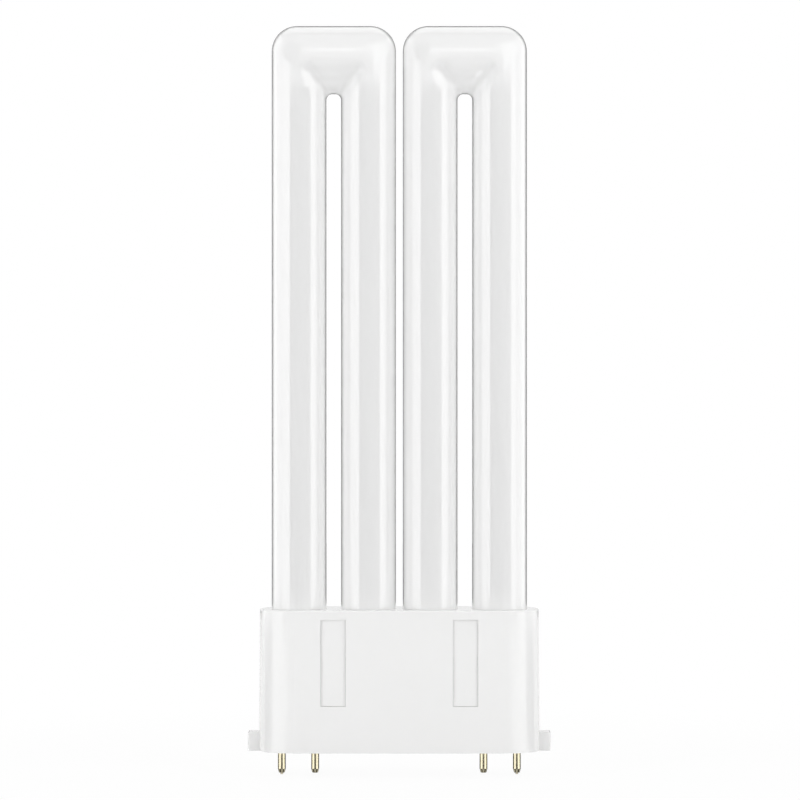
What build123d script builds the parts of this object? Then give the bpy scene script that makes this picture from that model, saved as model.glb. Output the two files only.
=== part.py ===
"""Flat plug-in LED lamp: two opal U-tubes side by side in one base with four pins in line."""
import os
from math import cos, floor, pi, radians, sin, sqrt

from build123d import *

# Sizes are in mm. Z runs up the tubes, X along the row of limbs, and the front faces -Y.
# The origin is the middle of the base's seating face, so only the pins reach below zero.

# Tubes
lamp_length = 217.0  # seating face to the top of the tubes
tube_od = 16.4
tube_wall = 1.2
slot_width = 4.4  # between the two limbs of one tube
slot_end_flat = 0.9  # straight part of the slot's closed end
tube_gap = 2.1  # between the two tubes
bridge_height = 20.4  # slot end to the top of the tube
bend_outer_radius = 7.6
tube_insertion = 9.0  # length of tube inside the base
tube_clearance = 0.1  # all round, in the base's collars
bend_sections = 12  # steps of the bend's fan of oval sections
arc_handle = 4 / 3 * (sqrt(2) - 1)  # handle of a cubic quarter circle of radius 1

# Base shell
base_height = 42.4
base_end_room = 3.9  # outermost limb to the end of the base
base_face_room = 2.8  # limb to the front or back of the base
base_end_flat = 0.6  # flat part of each end, between the rounded corners
base_end_draft = 0.35  # each end leans in by this much at the top
base_wall = 1.8
base_top = 2.0
base_rim_radius = 0.5
collar_wall = 1.0
lug_length = 3.15
lug_height = 5.6
lug_depth = 6.0
lug_edge_radius = 0.4

# Latches that hold the pin plate in the shell
latch_width = 7.4  # of the window
latch_height = 25.7  # of the window
latch_top_room = 2.8  # window to the top of the base
latch_recess = 0.5  # pad's face behind the base's face
latch_arm = 1.2
latch_clearance = 0.05

# Pin plate
plate_thickness = 2.4
plate_rim = 1.2  # wall of the shell left round the plate
plate_clearance = 0.15
boss_wall = 1.4
boss_height = 2.0
guide_wall = 1.0
guide_grip = 1.2  # overlap on the driver board's edge
guide_room = 0.4  # guide to the shell

# Contact pins and their leads
pin_diameter = 2.35
pin_length = 6.8  # below the seating face
pin_pitch = 10.0  # within a pair
pin_inset = 6.9  # outer pin to the end of the base
pin_cone = 1.15
pin_tip_diameter = 1.7
pin_bore = 0.9
pin_shank_lip = 0.3  # shank in the plate, wider than the free end
pin_flange_lip = 0.6
pin_flange = 0.8
pin_clearance = 0.05
outer_nib = 0.5  # lead left standing out of an outer pin's tip
inner_nib = 0.1
lead_rise = 3.8  # pin's flange to the bend of its lead
lead_bend = 1.2

# Circuit boards and links
board_clearance = 0.1
driver_thickness = 1.6
led_board_thickness = 1.0
led_board_edge_room = 0.8  # board's edge to the bore of the tube
led_board_tail = 2.9  # below the tube plug
led_board_top_room = 4.0  # top of the board to the slot's end
board_gap = 1.5  # driver board to the LED boards
led_width = 3.5
led_length = 2.8
led_height = 0.7
led_pitch = 9.6
led_first = 2.0  # first LED to the plug
link_diameter = 0.7
link_foot = 1.5  # foot of a link to the edge of its board
link_stand = 1.6
link_bend = 0.6

# Tube plugs
plug_grip = 6.0
plug_flange = 1.5
plug_clearance = 0.05
plug_room = 0.3  # flange to what stands round it

# Parts on the driver board
part_gap = 1.0
core_width = 13.0
core_height = 14.0
core_depth = 5.0
core_side_leg = 1.5
core_middle_leg = 4.0
core_yoke = 2.5
bobbin_wall = 0.5
bobbin_flange = 0.6
bobbin_clearance = 0.1
winding_thickness = 1.6
bulk_diameter = 8.0
bulk_length = 9.5
bulk_edge_radius = 0.6
film_width = 8.0
film_height = 7.0
film_depth = 9.0
film_edge_radius = 0.6
choke_diameter = 8.0
choke_length = 8.0
choke_waist = 4.0
choke_flange = 1.2
choke_winding_inset = 0.5
fuse_diameter = 2.4
fuse_length = 6.5
fuse_wire = 0.6
fuse_wire_run = 1.4
fuse_stand = 0.3
rectifier_width = 4.7
rectifier_height = 3.9
rectifier_depth = 2.4
chip_width = 4.9
chip_height = 3.9
chip_depth = 1.5
chip_offset = 8.0  # either side of the middle
leg_width = 0.5
leg_thickness = 0.25
leg_reach = 1.0

# Places worked out from the sizes above
tube_radius = tube_od / 2
bore_radius = tube_radius - tube_wall
limb_pitch = tube_od + slot_width
tube_pitch = limb_pitch + tube_od + tube_gap
tube_centres = [-tube_pitch / 2, tube_pitch / 2]
limb_centres = [tube_x + side * limb_pitch / 2 for tube_x in tube_centres for side in (-1, 1)]
tube_end = base_height - tube_insertion
slot_end = lamp_length - bridge_height
bend_inner_radius = (slot_width - slot_end_flat) / 2
bend_pivot = Vector(-slot_end_flat / 2, 0, slot_end - bend_inner_radius)
bend_side = limb_pitch / 2 + tube_radius
bend_corner = Vector(bend_outer_radius - bend_side, 0, lamp_length - bend_outer_radius)

base_width = tube_pitch + limb_pitch + tube_od + 2 * base_end_room
base_depth = tube_od + 2 * base_face_room
base_corner_radius = (base_depth - base_end_flat) / 2
cavity_top = base_height - base_top
cavity_face = base_depth / 2 - base_wall
window_bottom = base_height - latch_top_room - latch_height

boss_top = plate_thickness + boss_height
flange_top = boss_top + pin_flange
shank_radius = pin_diameter / 2 + pin_shank_lip
flange_radius = shank_radius + pin_flange_lip
outer_pin_x = base_width / 2 - pin_inset
pin_places = [-outer_pin_x, pin_pitch - outer_pin_x, outer_pin_x - pin_pitch, outer_pin_x]
pair_centre = outer_pin_x - pin_pitch / 2
lead_diameter = pin_bore - 2 * pin_clearance
lead_height = flange_top + lead_rise

# The driver board stands on the pin plate, behind the pins, in line with the LED boards.
board_front = flange_radius + board_clearance + guide_wall + 2 * board_clearance
driver_back = board_front + driver_thickness
guide_back = driver_back + board_clearance + guide_wall
guide_corner = guide_back - base_end_flat / 2
inner_corner_radius = base_corner_radius - base_wall
guide_end = (
    base_width / 2 - base_end_draft - base_wall - guide_room
    - inner_corner_radius + sqrt(inner_corner_radius**2 - guide_corner**2)
)
guide_top = lead_height - lead_diameter / 2 - part_gap
driver_half_width = guide_end - guide_wall - board_clearance
plug_bottom = tube_end - plug_flange
led_board_bottom = plug_bottom - led_board_tail
led_board_top = slot_end - led_board_top_room
led_board_back = board_front + led_board_thickness
led_board_half_width = sqrt(bore_radius**2 - led_board_back**2) - led_board_edge_room
driver_top = led_board_bottom - board_gap
row_height = (plate_thickness + driver_top) / 2
bulk_place = core_width / 2 + part_gap + bulk_diameter / 2
fuse_place = bulk_place + bulk_diameter / 2 + part_gap + fuse_diameter / 2


def block(x_range, y_range, z_range):
    """Box between two values on each axis."""
    ranges = (x_range, y_range, z_range)
    middle = [(low + high) / 2 for low, high in ranges]
    return Pos(*middle) * Box(*[high - low for low, high in ranges])


def upright(x, y, radius, bottom, top):
    """Vertical cylinder between two heights."""
    return Pos(x, y, (bottom + top) / 2) * Cylinder(radius, top - bottom)


def standing(x, z, radius, depth):
    """Cylinder that stands on the driver board's front face."""
    return Pos(x, board_front - depth / 2, z) * Rot(90, 0, 0) * Cylinder(radius, depth)


def turned(profile):
    """Solid turned about Z from a closed outline of (radius, height) points."""
    return revolve(make_face(Plane.XZ * Polyline(*profile, close=True)), Axis.Z)


def bent_wire(points, diameter, bend_radius):
    """Round wire along a path of straight runs with rounded corners."""
    path = FilletPolyline(*points, radius=bend_radius)
    return sweep(Plane(path @ 0, z_dir=path % 0) * Circle(diameter / 2), path)


def bend_reach(direction):
    """Distance from the bend's pivot to the tube's outer line, which has one rounded corner."""
    if direction.X < 0:
        to_side = (-bend_side - bend_pivot.X) / direction.X
        if bend_pivot.Z + to_side * direction.Z <= bend_corner.Z:
            return to_side
    if direction.Z > 0:
        to_top = (lamp_length - bend_pivot.Z) / direction.Z
        if bend_pivot.X + to_top * direction.X >= bend_corner.X:
            return to_top
    from_corner = bend_pivot - bend_corner
    along = from_corner.dot(direction)
    return sqrt(along**2 - from_corner.dot(from_corner) + bend_outer_radius**2) - along


def oval_wire(centre, direction, half_width, half_depth):
    """Closed oval in the plane of a direction and Y, as four cubic arcs."""
    outward = direction * half_width
    back = Vector(0, half_depth, 0)
    quadrants = [(outward, back), (-outward, back), (-outward, -back), (outward, -back)]
    arcs = []
    for place, (side, face) in enumerate(quadrants):
        start, end = (side, face) if place % 2 == 0 else (face, side)
        leave = start + end * arc_handle
        arrive = end + start * arc_handle
        arcs.append(Bezier(centre + start, centre + leave, centre + arrive, centre + end))
    return Wire(arcs)


def bend_oval(fan_angle, inset):
    """Section of the left bend, on a ray from the pivot, drawn in by inset."""
    direction = Vector(-cos(fan_angle), 0, sin(fan_angle))
    reach = bend_reach(direction)
    centre = bend_pivot + direction * ((reach + bend_inner_radius) / 2)
    half_width = (reach - bend_inner_radius) / 2 - inset
    return oval_wire(centre, direction, half_width, tube_radius - inset)


def side_faces(solid):
    """Faces of a solid without its flat ends."""
    return [face for face in solid.faces() if face.geom_type != GeomType.PLANE]


def tube_skin(inset):
    """Side faces of a whole U, drawn in by inset, and the flat face at its left end."""
    ovals = [bend_oval(radians(90 * step / bend_sections), inset) for step in range(bend_sections + 1)]
    bend = Solid.make_loft(ovals)
    limb_root = bend.faces().sort_by(Axis.Z)[0]
    bridge_root = bend.faces().sort_by(Axis.X)[-1]
    limb = Solid.extrude(limb_root, Vector(0, 0, tube_end - bend_pivot.Z))
    bridge = Solid.extrude(bridge_root, Vector(slot_end_flat, 0, 0))
    left = side_faces(bend) + side_faces(limb)
    right = [mirror(face, Plane.YZ) for face in left]
    return left + side_faces(bridge) + right, limb.faces().sort_by(Axis.Z)[0]


def u_tube():
    """Hollow U-tube, open at both lower ends, centred on X."""
    outside, outer_end = tube_skin(0.0)
    inside, inner_end = tube_skin(tube_wall)
    left_end = Face(outer_end.outer_wire(), [inner_end.outer_wire()])
    return Solid(Shell(outside + inside + [left_end, mirror(left_end, Plane.YZ)]))


def base_outline(inset, height):
    """Rounded outline of the base at a height, drawn in by inset."""
    width = base_width - 2 * (inset + base_end_draft * height / base_height)
    return Pos(0, 0, height) * RectangleRounded(width, base_depth - 2 * inset, base_corner_radius - inset)


def base_lug(side):
    """Lug at one end of the base, flush with the seating face."""
    root = base_width / 2 - plate_rim / 2
    tip = base_width / 2 + lug_length
    half_depth = lug_depth / 2
    lug = block((root, tip), (-half_depth, half_depth), (0, lug_height))
    lug = fillet(lug.edges().group_by(Axis.X)[-1], lug_edge_radius)
    return lug if side > 0 else mirror(lug, Plane.YZ)


def base_shell():
    """Base housing, open below, with collars for the tubes and windows for the latches."""
    shell = loft([base_outline(0, 0), base_outline(0, base_height)], ruled=True)
    shell = fillet(shell.edges().group_by(Axis.Z)[-1], base_rim_radius)
    shell -= loft([base_outline(base_wall, 0), base_outline(base_wall, cavity_top)], ruled=True)
    shell -= extrude(base_outline(plate_rim, 0), plate_thickness)
    hole_radius = tube_radius + tube_clearance
    for x in limb_centres:
        shell += upright(x, 0, hole_radius + collar_wall, tube_end, cavity_top)
    for x in limb_centres:
        shell -= upright(x, 0, hole_radius, tube_end - base_top, base_height + base_top)
    for side in (-1, 1):
        shell += base_lug(side)
        window_y = (side * cavity_face, side * (base_depth / 2 + base_wall))
        for x in tube_centres:
            window_x = (x - latch_width / 2, x + latch_width / 2)
            shell -= block(window_x, sorted(window_y), (window_bottom, window_bottom + latch_height))
    return shell


def latch(x, side):
    """Arm that stands on the pin plate, with the pad that fills its window."""
    half_width = latch_width / 2 - latch_clearance
    pad_x = (x - half_width, x + half_width)
    arm_face = cavity_face - latch_clearance
    pad_face = base_depth / 2 - latch_recess
    pad_bottom = window_bottom + latch_clearance
    pad_top = window_bottom + latch_height - latch_clearance
    arm = block(pad_x, sorted((side * (arm_face - latch_arm), side * arm_face)), (plate_thickness, pad_top))
    return arm + block(pad_x, sorted((side * arm_face, side * pad_face)), (pad_bottom, pad_top))


def card_guide(side):
    """Channel on the pin plate that holds one edge of the driver board."""
    front = board_front - board_clearance - guide_wall
    grip = driver_half_width - guide_grip
    guide = block((grip, guide_end), (front, guide_back), (plate_thickness, guide_top))
    slot_x = (grip, driver_half_width + board_clearance)
    slot_y = (board_front - board_clearance, driver_back + board_clearance)
    guide -= block(slot_x, slot_y, (plate_thickness, guide_top))
    return guide if side > 0 else mirror(guide, Plane.YZ)


def pin_plate():
    """Bottom plate with pin bosses, card guides and latches."""
    plate = extrude(base_outline(plate_rim + plate_clearance, 0), plate_thickness)
    hole_radius = shank_radius + pin_clearance
    for x in pin_places:
        plate += upright(x, 0, hole_radius + boss_wall, plate_thickness, boss_top)
    for side in (-1, 1):
        plate += card_guide(side)
        for x in tube_centres:
            plate += latch(x, side)
    for x in pin_places:
        plate -= upright(x, 0, hole_radius, -plate_thickness, boss_top + plate_thickness)
    return plate


def contact_pin():
    """Hollow pin with a coned tip, hung from its flange on the boss."""
    bore = pin_bore / 2
    radius = pin_diameter / 2
    return turned([
        (bore, -pin_length),
        (pin_tip_diameter / 2, -pin_length),
        (radius, pin_cone - pin_length),
        (radius, 0),
        (shank_radius, 0),
        (shank_radius, boss_top),
        (flange_radius, boss_top),
        (flange_radius, flange_top),
        (bore, flange_top),
    ])


def pin_lead(x):
    """Wire from a pin's tip up to the driver board."""
    nib = outer_nib if abs(x) > pair_centre else inner_nib
    route = [(x, 0, -pin_length - nib), (x, 0, lead_height), (x, board_front, lead_height)]
    return bent_wire(route, lead_diameter, lead_bend)


def led_board(x):
    """Strip board in one limb."""
    half = led_board_half_width
    return block((x - half, x + half), (board_front, led_board_back), (led_board_bottom, led_board_top))


def led_chips(x):
    """Row of LED packages on one strip board."""
    first = tube_end + plug_grip + led_first + led_length / 2
    count = 1 + floor((led_board_top - led_length - first) / led_pitch)
    chip = Box(led_width, led_height, led_length)
    face = board_front - led_height / 2
    return Compound(children=[Pos(x, face, first + place * led_pitch) * chip for place in range(count)])


def tube_plug(x):
    """Insert that closes a tube's end and holds its strip board."""
    lip = min(base_face_room - base_wall, tube_gap / 2) - plug_room
    plug = upright(x, 0, tube_radius + lip, plug_bottom, tube_end)
    plug += upright(x, 0, bore_radius - plug_clearance, tube_end, tube_end + plug_grip)
    half = led_board_half_width + board_clearance
    slot_y = (board_front - board_clearance, led_board_back + board_clearance)
    return plug - block((x - half, x + half), slot_y, (plug_bottom, tube_end + plug_grip))


def board_link(x):
    """Pair of wire links from a strip board down to the driver board."""
    upper = led_board_bottom + link_foot
    lower = driver_top - link_foot
    stand = board_front - link_stand
    links = []
    for link_x in (x - led_board_half_width / 2, x + led_board_half_width / 2):
        heights = [(board_front, upper), (stand, upper), (stand, lower), (board_front, lower)]
        links.append(bent_wire([(link_x, y, z) for y, z in heights], link_diameter, link_bend))
    return Compound(children=links)


def driver_board():
    """Main board, standing on the pin plate between the card guides."""
    half = driver_half_width
    return block((-half, half), (board_front, driver_back), (plate_thickness, driver_top))


def transformer():
    """Core, bobbin and winding, with the middle leg upright."""
    leg_x = core_middle_leg / 2 + bobbin_clearance
    leg_y = core_depth / 2 + bobbin_clearance
    tube_x = leg_x + bobbin_wall
    tube_y = leg_y + bobbin_wall
    coil_x = tube_x + winding_thickness
    coil_y = tube_y + winding_thickness
    window = core_height / 2 - core_yoke
    spool = window - bobbin_clearance
    coil = spool - bobbin_flange
    place = Pos(0, board_front - coil_y, row_height)

    window_outer = core_width / 2 - core_side_leg
    core = Box(core_width, core_depth, core_height)
    for side in (-1, 1):
        window_x = sorted((side * core_middle_leg / 2, side * window_outer))
        core -= block(window_x, (-core_depth, core_depth), (-window, window))
    bobbin = Box(2 * tube_x, 2 * tube_y, 2 * spool)
    for side in (-1, 1):
        flange_z = sorted((side * coil, side * spool))
        bobbin += block((-coil_x, coil_x), (-coil_y, coil_y), flange_z)
    bobbin -= Box(2 * leg_x, 2 * leg_y, 2 * core_height)
    winding = Box(2 * coil_x - bobbin_wall, 2 * coil_y - bobbin_wall, 2 * coil)
    winding = fillet(winding.edges().filter_by(Axis.Z), winding_thickness)
    winding -= Box(2 * tube_x, 2 * tube_y, 2 * core_height)
    return {
        "transformer_core": place * core,
        "transformer_bobbin": place * bobbin,
        "transformer_winding": place * winding,
    }


def bulk_capacitor(x):
    """Can that stands on the driver board."""
    can = standing(x, row_height, bulk_diameter / 2, bulk_length)
    return fillet(can.edges().group_by(Axis.Y)[0], bulk_edge_radius)


def film_capacitor():
    """Dipped box between the right-hand pair of leads."""
    box = Pos(pair_centre, board_front - film_depth / 2, row_height) * Box(film_width, film_depth, film_height)
    return fillet(box.edges().filter_by(Axis.Y), film_edge_radius)


def choke():
    """Drum core and its winding, between the left-hand pair of leads."""
    radius = choke_diameter / 2
    drum = standing(-pair_centre, row_height, radius, choke_length)
    spool = standing(-pair_centre, row_height, choke_waist / 2, choke_length)
    waist = standing(-pair_centre, row_height, radius, choke_length - 2 * choke_flange)
    waist = Pos(0, -choke_flange, 0) * waist
    trim = standing(-pair_centre, row_height, radius - choke_winding_inset, choke_length)
    return {
        "choke_core": (drum - waist) + spool,
        "choke_winding": (waist & trim) - spool,
    }


def fuse_resistor(x):
    """Small body lying along the board on its two bent wires."""
    body_y = board_front - fuse_stand - fuse_diameter / 2
    reach = fuse_length / 2 + fuse_wire_run
    body = upright(x, body_y, fuse_diameter / 2, row_height - fuse_length / 2, row_height + fuse_length / 2)
    route = [(board_front, -reach), (body_y, -reach), (body_y, reach), (board_front, reach)]
    wire = bent_wire([(x, y, row_height + z) for y, z in route], fuse_wire, fuse_wire)
    return body + wire


def flat_package(x, width, height, depth, legs):
    """Chip package on the driver board's back face, with a row of legs above and below."""
    half_width = width / 2
    half_height = height / 2
    package = block(
        (x - half_width, x + half_width),
        (driver_back, driver_back + depth),
        (row_height - half_height, row_height + half_height),
    )
    leg_half = half_height + leg_reach
    for place in range(legs):
        leg_x = x + width * ((place + 0.5) / legs - 0.5)
        package += block(
            (leg_x - leg_width / 2, leg_x + leg_width / 2),
            (driver_back, driver_back + leg_thickness),
            (row_height - leg_half, row_height + leg_half),
        )
    return package


def lamp_nodes():
    """Every piece of the lamp by name, in place."""
    tube = u_tube()
    nodes = {
        "base_shell": base_shell(),
        "pin_plate": pin_plate(),
        "tube_left": Pos(tube_centres[0], 0, 0) * tube,
        "tube_right": Pos(tube_centres[1], 0, 0) * tube,
        "driver_board": driver_board(),
        "film_capacitor": film_capacitor(),
        "bridge_rectifier": flat_package(-chip_offset, rectifier_width, rectifier_height, rectifier_depth, 2),
        "driver_chip": flat_package(chip_offset, chip_width, chip_height, chip_depth, 4),
    }
    nodes.update(transformer())
    nodes.update(choke())
    pin = contact_pin()
    for number, x in enumerate(pin_places, 1):
        nodes[f"contact_pin_{number}"] = Pos(x, 0, 0) * pin
        nodes[f"pin_lead_{number}"] = pin_lead(x)
    for number, x in enumerate(limb_centres, 1):
        nodes[f"led_board_{number}"] = led_board(x)
        nodes[f"led_chips_{number}"] = led_chips(x)
        nodes[f"tube_plug_{number}"] = tube_plug(x)
        nodes[f"board_link_{number}"] = board_link(x)
    for number, side in enumerate((-1, 1), 1):
        nodes[f"bulk_capacitor_{number}"] = bulk_capacitor(side * bulk_place)
        nodes[f"fuse_resistor_{number}"] = fuse_resistor(side * fuse_place)
    return nodes


os.makedirs("parts", exist_ok=True)
for node_name, node_shape in lamp_nodes().items():
    export_step(node_shape, f"parts/{node_name}.step")
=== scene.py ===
"""Looks, light and camera for the flat plug-in LED lamp."""
from math import cos, exp, pi, radians, sin, sqrt, tan

import bpy
from mathutils import Matrix, Vector


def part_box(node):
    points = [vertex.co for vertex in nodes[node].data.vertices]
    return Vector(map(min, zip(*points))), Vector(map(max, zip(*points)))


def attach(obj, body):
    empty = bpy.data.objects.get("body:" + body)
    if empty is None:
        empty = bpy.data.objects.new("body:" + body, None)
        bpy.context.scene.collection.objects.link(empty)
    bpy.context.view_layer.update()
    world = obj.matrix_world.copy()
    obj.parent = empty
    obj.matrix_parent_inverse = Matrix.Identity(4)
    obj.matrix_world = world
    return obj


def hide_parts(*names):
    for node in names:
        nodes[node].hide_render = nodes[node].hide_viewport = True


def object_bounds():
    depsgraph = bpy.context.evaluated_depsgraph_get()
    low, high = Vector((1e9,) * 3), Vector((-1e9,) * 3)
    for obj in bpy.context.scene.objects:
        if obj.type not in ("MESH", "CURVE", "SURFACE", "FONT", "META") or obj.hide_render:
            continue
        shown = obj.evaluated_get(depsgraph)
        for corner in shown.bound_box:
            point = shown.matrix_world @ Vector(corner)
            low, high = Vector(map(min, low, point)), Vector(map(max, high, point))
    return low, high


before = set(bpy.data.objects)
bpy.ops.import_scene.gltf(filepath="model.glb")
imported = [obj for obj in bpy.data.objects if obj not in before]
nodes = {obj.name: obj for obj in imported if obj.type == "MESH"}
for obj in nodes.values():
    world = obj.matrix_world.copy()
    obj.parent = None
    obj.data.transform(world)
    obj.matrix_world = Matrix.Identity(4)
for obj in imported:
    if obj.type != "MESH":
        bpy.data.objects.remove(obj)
cad_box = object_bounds()
floor_z = cad_box[0].z
scene = bpy.context.scene

# Tubes, in metres, with the values of the part's source
tube_od = 0.0164
tube_wall = 0.0012
slot_width = 0.0044
slot_end_flat = 0.0009
bridge_height = 0.0204
bend_outer_radius = 0.0076
groove_depth = 0.0008  # pressed in along the inner half of each mitre
groove_half_width = 0.0019
groove_length = 0.0135  # from the bend's pivot
groove_fade = 0.0025
points_round = 128
bend_steps = 60
limb_steps = 6
sharp_angle = radians(40)

# Textures
noise_low = 0.2  # range that most of a noise's values lie in
noise_high = 0.8
tone_detail = 3.0
relief_detail = 2.0
ring_distortion = 0.4
gloss_patches = 2.3  # patches of gloss to one patch of tone

# Camera
camera_distance = 1.0
camera_height = 0.1049
camera_side = 0.0002
camera_lens = 150.0
camera_sensor = 36.0

# Light, with azimuths in degrees to the right of the camera
ambient = 0.32
key_azimuths = (36, 72)
side_azimuths = (75, 120)
back_azimuths = (135, 225)
key_level = 2.23
side_level = 0.45
back_level = 1.3
top_level = 0.75
fill_level = 0.8
studio_radius = 0.75
card_radius = 0.73
near_radius = 0.71
low_radius = 0.3
wall_top = 0.9
white = (1.0, 1.0, 1.0)
floor_colour = (0.85, 0.85, 0.85)
floor_glow = 0.94
floor_size = 30.0
shadow_reach = 0.12

# Heights on the wall of cards, as bottom and top, that each part of the lamp mirrors to the camera
limb_zone = (-0.002, wall_top)
band_zone = (-0.002, 0.27)
flag_corner_zone = (0.31, wall_top)
card_corner_zone = (0.28, wall_top)
top_zone = (0.3, wall_top)
arch_zone = (-0.35, 0.03)
base_zone = (-0.076, -0.003)
base_edge_zone = (-0.076, -0.001)
below_base_zone = (-0.4, -0.05)
pin_zone = (-0.11, -0.077)
pin_end_zone = (-0.2, -0.11)
whole_pin_zone = (-0.3, -0.077)
tip_zone = (-0.75, -0.3)


# Materials

def add_node(tree, kind, inputs=None, **settings):
    """New node with its inputs set to constants or linked to sockets."""
    node = tree.nodes.new(kind)
    for key, value in settings.items():
        setattr(node, key, value)
    for key, value in (inputs or {}).items():
        if isinstance(value, bpy.types.NodeSocket):
            tree.links.new(value, node.inputs[key])
        else:
            node.inputs[key].default_value = value
    return node


def noise(tree, place, scale, detail):
    """Noise value on object coordinates, with scale in features per metre."""
    made = add_node(tree, "ShaderNodeTexNoise", {"Vector": place, "Scale": scale, "Detail": detail})
    return made.outputs["Fac"]


def between(tree, value, low, high):
    """Value of a noise spread over a range."""
    inputs = {"Value": value, "From Min": noise_low, "From Max": noise_high, "To Min": low, "To Max": high}
    return add_node(tree, "ShaderNodeMapRange", inputs).outputs["Result"]


def relief_pattern(tree, place, scale, rings):
    """Pattern of a surface's relief: turned rings, or the grain of a mould."""
    if not rings:
        return noise(tree, place, scale, relief_detail)
    waves = {"Vector": place, "Scale": scale, "Distortion": ring_distortion, "Detail": relief_detail}
    return add_node(tree, "ShaderNodeTexWave", waves, bands_direction="Z").outputs["Fac"]


def finish_material(name, tones, patch, gloss, relief, rings=False, settings=None):
    """Material with two close tones, uneven gloss and a fine relief."""
    made = bpy.data.materials.new(name)
    made.use_nodes = True
    tree = made.node_tree
    shader = tree.nodes["Principled BSDF"]
    place = add_node(tree, "ShaderNodeTexCoord").outputs["Object"]
    tone = add_node(tree, "ShaderNodeMix", data_type="RGBA")
    tone_share = between(tree, noise(tree, place, patch, tone_detail), 0.0, 1.0)
    tree.links.new(tone_share, tone.inputs["Factor"])
    tone.inputs["A"].default_value = (*tones[0], 1)
    tone.inputs["B"].default_value = (*tones[1], 1)
    tree.links.new(tone.outputs["Result"], shader.inputs["Base Color"])
    rough = between(tree, noise(tree, place, patch * gloss_patches, tone_detail), *gloss)
    tree.links.new(rough, shader.inputs["Roughness"])
    scale, height = relief
    pattern = relief_pattern(tree, place, scale, rings)
    bump = add_node(tree, "ShaderNodeBump", {"Height": pattern, "Strength": 1.0, "Distance": height})
    tree.links.new(bump.outputs["Normal"], shader.inputs["Normal"])
    for key, value in (settings or {}).items():
        shader.inputs[key].default_value = value
    return made


# Two tones, patches per metre, range of roughness, and relief as features per metre and height in metres
looks = {
    "opal_tube": dict(
        tones=((0.84, 0.84, 0.84), (0.85, 0.85, 0.848)), patch=60, gloss=(0.06, 0.08), relief=(900, 5e-7),
        settings={"IOR": 1.585, "Coat Weight": 1.0, "Coat Roughness": 0.06, "Coat IOR": 1.5},
    ),
    "base_white": dict(
        tones=((0.872, 0.872, 0.868), (0.88, 0.88, 0.876)), patch=240, gloss=(0.15, 0.19),
        relief=(5200, 8e-7),
        settings={"IOR": 1.55, "Coat Weight": 1.0, "Coat Roughness": 0.09, "Coat IOR": 1.5},
    ),
    "contact_brass": dict(
        tones=((0.66, 0.60, 0.42), (0.73, 0.67, 0.49)), patch=700, gloss=(0.10, 0.15), relief=(900, 1e-6),
        rings=True, settings={"Metallic": 1.0},
    ),
    "tinned_wire": dict(
        tones=((0.58, 0.52, 0.40), (0.66, 0.62, 0.52)), patch=900, gloss=(0.25, 0.4), relief=(4000, 4e-6),
        settings={"Metallic": 1.0},
    ),
    "led_board_white": dict(
        tones=((0.83, 0.84, 0.83), (0.86, 0.87, 0.86)), patch=200, gloss=(0.35, 0.5), relief=(3000, 5e-6),
    ),
    "led_phosphor": dict(
        tones=((0.86, 0.72, 0.26), (0.90, 0.79, 0.34)), patch=900, gloss=(0.25, 0.4), relief=(3000, 8e-6),
    ),
    "plug_white": dict(
        tones=((0.80, 0.80, 0.78), (0.83, 0.83, 0.81)), patch=150, gloss=(0.45, 0.6), relief=(2600, 8e-6),
    ),
    "driver_green": dict(
        tones=((0.08, 0.24, 0.11), (0.12, 0.31, 0.16)), patch=260, gloss=(0.3, 0.45), relief=(1800, 8e-6),
    ),
    "ferrite": dict(
        tones=((0.08, 0.08, 0.09), (0.13, 0.13, 0.14)), patch=900, gloss=(0.4, 0.6), relief=(2600, 1e-5),
    ),
    "bobbin_black": dict(
        tones=((0.05, 0.05, 0.05), (0.07, 0.07, 0.07)), patch=400, gloss=(0.4, 0.55), relief=(2600, 6e-6),
    ),
    "winding_copper": dict(
        tones=((0.50, 0.22, 0.09), (0.60, 0.30, 0.13)), patch=700, gloss=(0.25, 0.35), relief=(700, 1e-4),
        rings=True, settings={"Coat Weight": 0.6},
    ),
    "capacitor_can": dict(
        tones=((0.10, 0.11, 0.14), (0.14, 0.15, 0.18)), patch=300, gloss=(0.25, 0.35), relief=(1500, 6e-6),
    ),
    "film_red": dict(
        tones=((0.44, 0.08, 0.05), (0.52, 0.12, 0.07)), patch=300, gloss=(0.2, 0.3), relief=(900, 2e-5),
    ),
    "fuse_body": dict(
        tones=((0.33, 0.47, 0.45), (0.39, 0.53, 0.51)), patch=500, gloss=(0.3, 0.4), relief=(1800, 1e-5),
    ),
    "chip_black": dict(
        tones=((0.04, 0.04, 0.04), (0.06, 0.06, 0.06)), patch=900, gloss=(0.45, 0.6), relief=(3600, 8e-6),
    ),
}
materials = {name: finish_material(name, **look) for name, look in looks.items()}

# Material of each node, by the node's name without its number
finishes = {
    "base_shell": "base_white",
    "pin_plate": "base_white",
    "contact_pin": "contact_brass",
    "pin_lead": "tinned_wire",
    "led_board": "led_board_white",
    "led_chips": "led_phosphor",
    "tube_plug": "plug_white",
    "board_link": "tinned_wire",
    "driver_board": "driver_green",
    "transformer_core": "ferrite",
    "transformer_bobbin": "bobbin_black",
    "transformer_winding": "winding_copper",
    "bulk_capacitor": "capacitor_can",
    "film_capacitor": "film_red",
    "choke_core": "ferrite",
    "choke_winding": "winding_copper",
    "fuse_resistor": "fuse_body",
    "bridge_rectifier": "chip_black",
    "driver_chip": "chip_black",
    "tube_left": "opal_tube",
    "tube_right": "opal_tube",
}
for node_name, node_object in nodes.items():
    kind = node_name.rstrip("0123456789").rstrip("_")
    node_object.data.materials.clear()
    node_object.data.materials.append(materials[finishes[kind]])


# Tubes, as even quad meshes for clean reflections

def bend_pivot(top):
    """Pivot of the left bend's fan of sections, as x and z."""
    inner_radius = (slot_width - slot_end_flat) / 2
    return -slot_end_flat / 2, top - bridge_height - inner_radius


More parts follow.
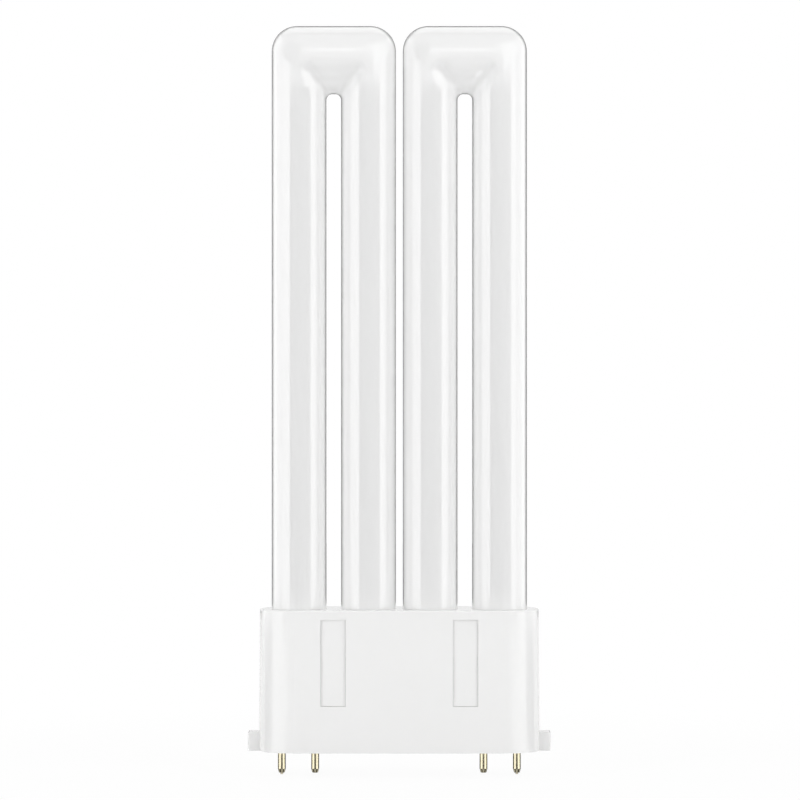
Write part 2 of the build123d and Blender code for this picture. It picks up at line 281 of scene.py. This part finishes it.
def bend_reach(direction, top):
    """Distance from the bend's pivot to the tube's outer line, which has one rounded corner."""
    pivot_x, pivot_z = bend_pivot(top)
    side = slot_width / 2 + tube_od
    corner_x, corner_z = bend_outer_radius - side, top - bend_outer_radius
    dir_x, dir_z = direction
    if dir_x < 0:
        to_side = (-side - pivot_x) / dir_x
        if pivot_z + to_side * dir_z <= corner_z:
            return to_side
    if dir_z > 0:
        to_top = (top - pivot_z) / dir_z
        if pivot_x + to_top * dir_x >= corner_x:
            return to_top
    from_x, from_z = pivot_x - corner_x, pivot_z - corner_z
    along = from_x * dir_x + from_z * dir_z
    return sqrt(along**2 - from_x**2 - from_z**2 + bend_outer_radius**2) - along


def left_sections(bottom, top, inset):
    """Oval sections from the left limb's end to the middle of the bridge.

    Each is the x and z of its centre, the x and z of its outward line, and its half along that line.
    """
    inner_radius = (slot_width - slot_end_flat) / 2
    pivot_x, pivot_z = bend_pivot(top)
    limb_x = -(slot_width + tube_od) / 2
    half = tube_od / 2 - inset
    sections = []
    for step in range(limb_steps):
        height = bottom + (pivot_z - bottom) * step / limb_steps
        sections.append((limb_x, height, -1.0, 0.0, half))
    for step in range(bend_steps + 1):
        fan = pi / 2 * step / bend_steps
        dir_x, dir_z = -cos(fan), sin(fan)
        reach = bend_reach((dir_x, dir_z), top)
        middle = (reach + inner_radius) / 2
        bend_half = (reach - inner_radius) / 2 - inset
        sections.append((pivot_x + dir_x * middle, pivot_z + dir_z * middle, dir_x, dir_z, bend_half))
    return sections


def groove(x, z, top):
    """Depth of the groove at a point of the bend's front or back."""
    pivot_x, pivot_z = bend_pivot(top)
    from_x, from_z = -abs(x) - pivot_x, z - pivot_z
    mitre = Vector((-tube_od, bridge_height)).normalized()
    along = from_x * mitre.x + from_z * mitre.y
    across = from_x * mitre.y - from_z * mitre.x
    rise = min(max(along / groove_fade, 0.0), 1.0)
    fall = min(max((groove_length - along) / groove_fade, 0.0), 1.0)
    return groove_depth * rise * fall * exp(-((across / groove_half_width) ** 2))


def tube_rings(x, bottom, top, inset):
    """Rings of points along the whole U, from the left limb's end to the right limb's."""
    left = left_sections(bottom, top, inset)
    right = [(-cx, cz, -dx, dz, half) for cx, cz, dx, dz, half in reversed(left)]
    rings = []
    for cx, cz, dx, dz, half in left + right:
        ring = []
        for place in range(points_round):
            turn = 2 * pi * place / points_round
            out = half * cos(turn)
            across, height = cx + dx * out, cz + dz * out
            half_depth = tube_od / 2 - inset - groove(across, height, top)
            ring.append((x + across, half_depth * sin(turn), height))
        rings.append(ring)
    return rings


def tube_mesh(name, x, bottom, top):
    """Hollow U-tube, open at both ends."""
    outer = tube_rings(x, bottom, top, 0.0)
    inner = tube_rings(x, bottom, top, tube_wall)
    points = [point for ring in outer + inner for point in ring]
    count = len(outer)
    faces = []

    def strip(first, second):
        for place in range(points_round):
            following = (place + 1) % points_round
            faces.append((
                first * points_round + place, first * points_round + following,
                second * points_round + following, second * points_round + place,
            ))

    for ring in range(count - 1):
        strip(ring, ring + 1)
        strip(count + ring + 1, count + ring)
    strip(count, 0)
    strip(count - 1, 2 * count - 1)
    mesh = bpy.data.meshes.new(name)
    mesh.from_pydata(points, [], faces)
    mesh.validate()
    mesh.shade_smooth()
    mesh.set_sharp_from_angle(angle=sharp_angle)
    made = bpy.data.objects.new(name, mesh)
    scene.collection.objects.link(made)
    return made


for node_name in ("tube_left", "tube_right"):
    low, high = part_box(node_name)
    tube_height = round(high.z - low.z, 4)  # the box of the solid's own mesh is a few hundredths of a mm off
    tube = tube_mesh(node_name + "_skin", (low.x + high.x) / 2, low.z, low.z + tube_height)
    tube.data.materials.append(materials["opal_tube"])
    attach(tube, "root")
    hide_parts(node_name)
    tube.visible_shadow = False  # opal tubes pass light on to each other


# Floor, world, lights and camera

def seen_share(tree):
    """1 for rays from the camera, a mirror or glass, and 0 for light on the object."""
    path = add_node(tree, "ShaderNodeLightPath")
    share = path.outputs["Is Camera Ray"]
    for ray in ("Is Glossy Ray", "Is Transmission Ray"):
        inputs = {0: share, 1: path.outputs[ray]}
        share = add_node(tree, "ShaderNodeMath", inputs, operation="MAXIMUM").outputs[0]
    return share


def facing_matrix(centre, facing):
    """Place of something flat at a point, with its front facing a way."""
    return Matrix.Translation(centre) @ Vector(facing).to_track_quat("Z", "Y").to_matrix().to_4x4()


def plane(name, centre, facing, width, height):
    """Flat sheet of a size, facing a way."""
    mesh = bpy.data.meshes.new(name)
    corners = [(-width / 2, -height / 2, 0), (width / 2, -height / 2, 0),
               (width / 2, height / 2, 0), (-width / 2, height / 2, 0)]
    mesh.from_pydata(corners, [], [(0, 1, 2, 3)])
    made = bpy.data.objects.new(name, mesh)
    made.matrix_world = facing_matrix(centre, facing)
    scene.collection.objects.link(made)
    return made


def glow_material(name, level, one_sided):
    """Plain even glow, clear from behind where it is one-sided."""
    made = bpy.data.materials.new(name)
    made.use_nodes = True
    tree = made.node_tree
    tree.nodes.clear()
    surface = add_node(tree, "ShaderNodeEmission", {"Color": (level, level, level, 1), "Strength": 1.0})
    if one_sided:
        behind = add_node(tree, "ShaderNodeNewGeometry").outputs["Backfacing"]
        clear = add_node(tree, "ShaderNodeBsdfTransparent")
        inputs = {0: behind, 1: surface.outputs[0], 2: clear.outputs[0]}
        surface = add_node(tree, "ShaderNodeMixShader", inputs)
    add_node(tree, "ShaderNodeOutputMaterial", {"Surface": surface.outputs[0]})
    return made


def flag(name, level, centre, facing, width, height, one_sided=False):
    """Studio card that only reflections show: it lights nothing and is out of the picture."""
    made = plane(name, centre, facing, width, height)
    made.data.materials.append(glow_material(name, level, one_sided))
    made.visible_camera = False
    made.visible_diffuse = False
    made.visible_transmission = False
    made.visible_volume_scatter = False
    made.visible_shadow = False


def softbox(name, level, centre, target, width, height):
    """Area light whose surface has the radiance level, out of the picture and of reflections."""
    light = bpy.data.lights.new(name, "AREA")
    light.shape = "RECTANGLE"
    light.size = width
    light.size_y = height
    light.energy = level * pi * width * height
    made = bpy.data.objects.new(name, light)
    made.matrix_world = facing_matrix(centre, Vector(centre) - Vector(target))
    made.visible_camera = False
    made.visible_glossy = False
    scene.collection.objects.link(made)


def upright_place(radius, azimuths, zone):
    """Middle, width and height of an upright sheet over a range of azimuth."""
    azimuth_from, azimuth_to = azimuths
    bottom, top = zone
    middle = radians(azimuth_from + azimuth_to) / 2
    half = radians(azimuth_to - azimuth_from) / 2
    centre = Vector((sin(middle) * radius, -cos(middle) * radius, (bottom + top) / 2))
    return centre, 2 * radius * abs(tan(half)), top - bottom


def on_side(azimuths, side):
    """Range of azimuth on the right, for side 1, or its mirror image on the left, for side -1."""
    return [side * azimuth for azimuth in azimuths]


def wall_light(name, azimuths, level):
    """Upright softbox beside the lamp."""
    centre, width, height = upright_place(studio_radius, azimuths, (floor_z, wall_top))
    softbox(name, level, centre, (0, 0, centre.z), width, height)


def wall_flag(name, azimuths, zone, level, radius=card_radius):
    """Upright card beside the lamp."""
    centre, width, height = upright_place(radius, azimuths, zone)
    flag(name, level, centre, (-centre.x, -centre.y, 0), width, height)


# The floor glows white to the camera, and near the lamp it keeps a share of its shadow
floor = plane("floor", (0, 0, floor_z), (0, 0, 1), floor_size, floor_size)
floor_material = bpy.data.materials.new("floor")
floor_material.use_nodes = True
floor_tree = floor_material.node_tree
floor_tree.nodes.clear()
matte = add_node(floor_tree, "ShaderNodeBsdfDiffuse", {"Color": (*floor_colour, 1)})
glow = add_node(floor_tree, "ShaderNodeEmission", {"Color": (*white, 1), "Strength": 1.0})
floor_place = add_node(floor_tree, "ShaderNodeTexCoord").outputs["Object"]
floor_reach = add_node(floor_tree, "ShaderNodeVectorMath", {0: floor_place}, operation="LENGTH")
fade = {"Value": floor_reach.outputs["Value"], "From Min": shadow_reach, "From Max": 2 * shadow_reach}
fade.update({"To Min": floor_glow, "To Max": 1.0})
floor_fade = add_node(floor_tree, "ShaderNodeMapRange", fade, interpolation_type="SMOOTHSTEP")
glow_share = add_node(
    floor_tree, "ShaderNodeMath", {0: seen_share(floor_tree), 1: floor_fade.outputs[0]},
    operation="MULTIPLY",
)
floor_mix = add_node(
    floor_tree, "ShaderNodeMixShader",
    {0: glow_share.outputs[0], 1: matte.outputs[0], 2: glow.outputs[0]},
)
add_node(floor_tree, "ShaderNodeOutputMaterial", {"Surface": floor_mix.outputs[0]})
floor.data.materials.append(floor_material)
floor.visible_glossy = False

world = bpy.data.worlds.new("studio")
scene.world = world
world.use_nodes = True
world_tree = world.node_tree
world_tree.nodes.clear()
room = add_node(world_tree, "ShaderNodeBackground", {"Color": (*white, 1), "Strength": ambient})
backdrop = add_node(world_tree, "ShaderNodeBackground", {"Color": (*white, 1), "Strength": 1.0})
world_mix = add_node(
    world_tree, "ShaderNodeMixShader",
    {0: seen_share(world_tree), 1: room.outputs[0], 2: backdrop.outputs[0]},
)
add_node(world_tree, "ShaderNodeOutputWorld", {"Surface": world_mix.outputs[0]})

# Cards on both sides of the camera: name, range of azimuth, zone and level
paired_cards = [
    ("side_card", (72, 125), limb_zone, 1.55),  # bright flanks of the limbs
    ("edge_flag", (134, 173), limb_zone, 0.0),  # and their dark outlines
    ("base_card", (14, 74), base_zone, 1.5),  # bright bands on the base's corners
    ("base_flag", (78, 110), base_zone, 0.2),  # grey bands beside them
    ("base_edge", (111, 172), base_edge_zone, 0.9),  # pale outline of the base
    ("pin_card", (31, 97), pin_zone, 1.9),  # bright sides of the pins
    ("tip_card", (31, 97), pin_end_zone, 1.2),
    ("pin_edge", (98, 173), whole_pin_zone, 0.0),  # and their dark outlines
    ("tip_flag", (18, 100), tip_zone, 0.1),  # dark cones of the pins
]
for side, side_name in ((-1, "left"), (1, "right")):
    wall_light("key_" + side_name, on_side(key_azimuths, side), key_level)
    wall_light("side_" + side_name, on_side(side_azimuths, side), side_level)
    for card_name, azimuths, zone, level in paired_cards:
        wall_flag(card_name + "_" + side_name, on_side(azimuths, side), zone, level)
wall_light("back_light", back_azimuths, back_level)

# Single cards, in the same form
single_cards = [
    ("key_card_left", (-72, -40), limb_zone, 1.75),  # bright bands beside the limbs' grey ones
    ("key_card_right", (49, 72), limb_zone, 2.0),
    ("top_flag", (173, 187), top_zone, 0.0),  # dark line along the top
    ("arch_flag", (173, 187), arch_zone, 0.0),  # dark arch at each slot's end
    ("front_flag", (-40, 6), band_zone, 0.0),  # grey bands of the limbs, paler to the right
    ("front_flag_middle", (6, 22), band_zone, 0.1),
    ("front_flag_right", (22, 37), band_zone, 0.25),
    ("front_flag_edge", (37, 49), band_zone, 0.45),
    ("pin_flag", (-31, 31), whole_pin_zone, 0.02),  # dark middle line of the pins
    ("corner_card", (20, 49), card_corner_zone, 2.0),  # bright right corners of the bends
    ("front_low", (-13, 13), base_zone, 0.03),  # the grey bands, down to the base
]
for card_name, azimuths, zone, level in single_cards:
    wall_flag(card_name, azimuths, zone, level)
# Nearer cards: grey left corners of the bends, and what the pins' cones and raised views mirror
wall_flag("corner_flag", (-84, -15), flag_corner_zone, 0.6, near_radius)
wall_flag("low_front", (-34, 34), below_base_zone, 0.5, low_radius)

# Cards near the lamp and above it; those with one side show only to rays that meet their front
flag(
    "base_front", level=0.82, centre=(0, -0.071, 0.016), facing=(0, 1, 0),
    width=0.108, height=0.0476,
)
flag(  # pale line across the bridges
    "streak_card", level=1.8, centre=(0, -0.6, 0.52), facing=(0, 0.6, -0.32),
    width=0.3, height=0.12,
)
flag(  # pale streak on the right mitres
    "streak_shelf", level=1.7, centre=(0.22, 0.0, 0.115), facing=(0, 0, 1),
    width=0.34, height=0.2, one_sided=True,
)
flag(  # rounded rim of the base
    "rim_shelf", level=0.8, centre=(0, 0, 0.048), facing=(0, 0, -1),
    width=1.2, height=1.2, one_sided=True,
)
flag(  # lower half of the bridges
    "bridge_near", level=0.45, centre=(0, -0.05, 0.1914), facing=(0, 0.07, 1),
    width=0.5, height=0.04, one_sided=True,
)
flag(
    "bridge_far", level=0.75, centre=(0, -0.335, 0.2114), facing=(0, 0.07, 1),
    width=0.9, height=0.53, one_sided=True,
)
flag(  # top of the bridges, with a faint grey line
    "top_gap", level=0.3, centre=(0, -0.04, 1.1), facing=(0, 0, -1),
    width=1.2, height=0.07,
)
flag(
    "top_back", level=1.35, centre=(0, 0.38, 1.1), facing=(0, -0.4, -0.9),
    width=1.2, height=0.8,
)
softbox("top_light", top_level, centre=(0, 0, 0.9), target=(0, 0, 0), width=1.0, height=0.8)
softbox("front_fill", fill_level, centre=(0, -0.75, 0.055), target=(0, 0, 0.055), width=0.8, height=0.1)

camera_data = bpy.data.cameras.new("camera")
camera_data.lens = camera_lens
camera_data.sensor_width = camera_sensor
camera = bpy.data.objects.new("camera", camera_data)
camera_place = Matrix.Translation((camera_side, -camera_distance, camera_height))
camera.matrix_world = camera_place @ Matrix.Rotation(pi / 2, 4, "X")
scene.collection.objects.link(camera)
scene.camera = camera
scene.view_settings.view_transform = "Standard"
